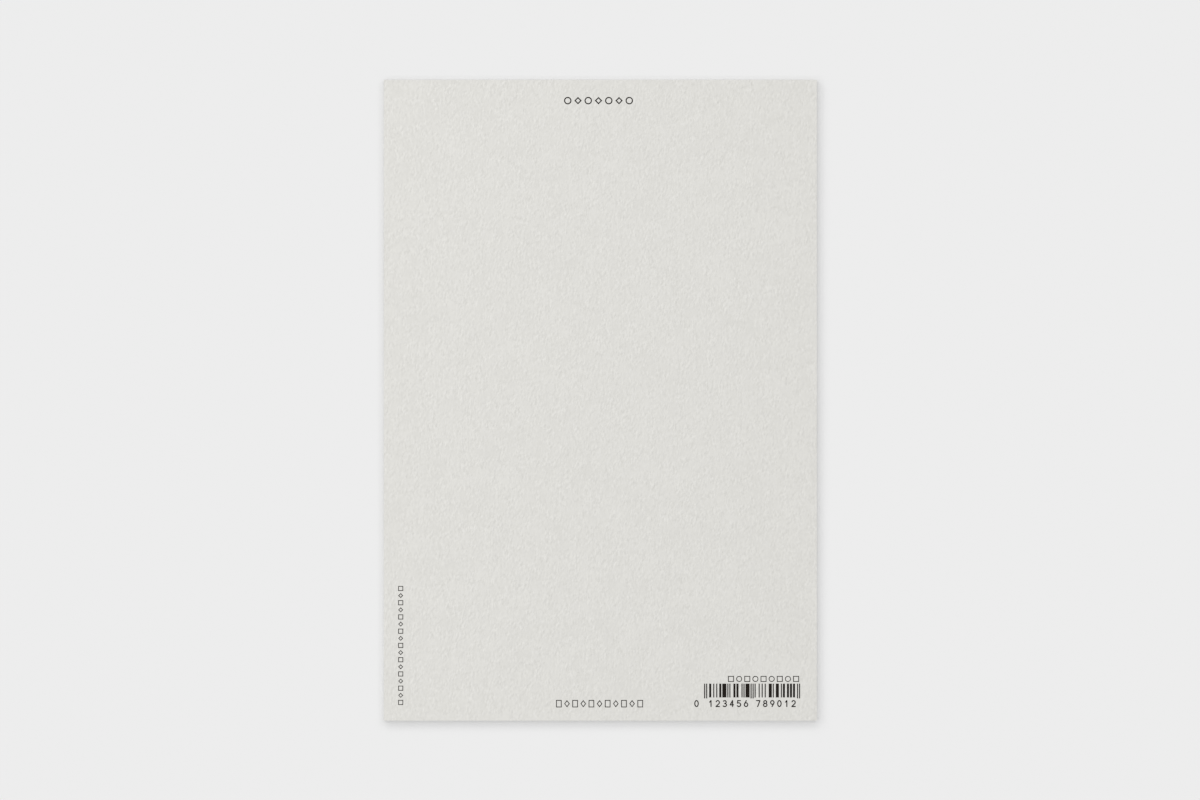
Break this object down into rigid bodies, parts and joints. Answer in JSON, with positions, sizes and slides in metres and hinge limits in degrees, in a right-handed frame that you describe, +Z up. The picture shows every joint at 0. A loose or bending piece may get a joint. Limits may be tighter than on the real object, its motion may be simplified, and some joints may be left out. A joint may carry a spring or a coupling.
{
  "type": "postcard",
  "caption": "Flat portrait postcard of felt-marked uncoated card, its address side printed with small ornament rows and a barcode; for writing on, posting or display.",
  "frame": {"origin": "centre of the picture side, on the surface that the card lies on", "axes": "+X to the right and +Y to the top of the address side as it is read, +Z up out of the address side"},
  "size_m": [0.1, 0.148, 0.0004],
  "materials": {
    "felt_paper": "uncoated, felt-marked",
    "core_paper": "uncoated, bulky",
    "print_ink": "matt offset ink"
  },
  "bodies": {
    "root": {"picture_side_ply": "felt_paper", "core_ply": "core_paper", "address_side_ply": "felt_paper", "heading_print": "print_ink", "side_line_print": "print_ink", "foot_line_print": "print_ink", "small_line_print": "print_ink", "barcode_bars": "print_ink"}
  },
  "joints": []
}
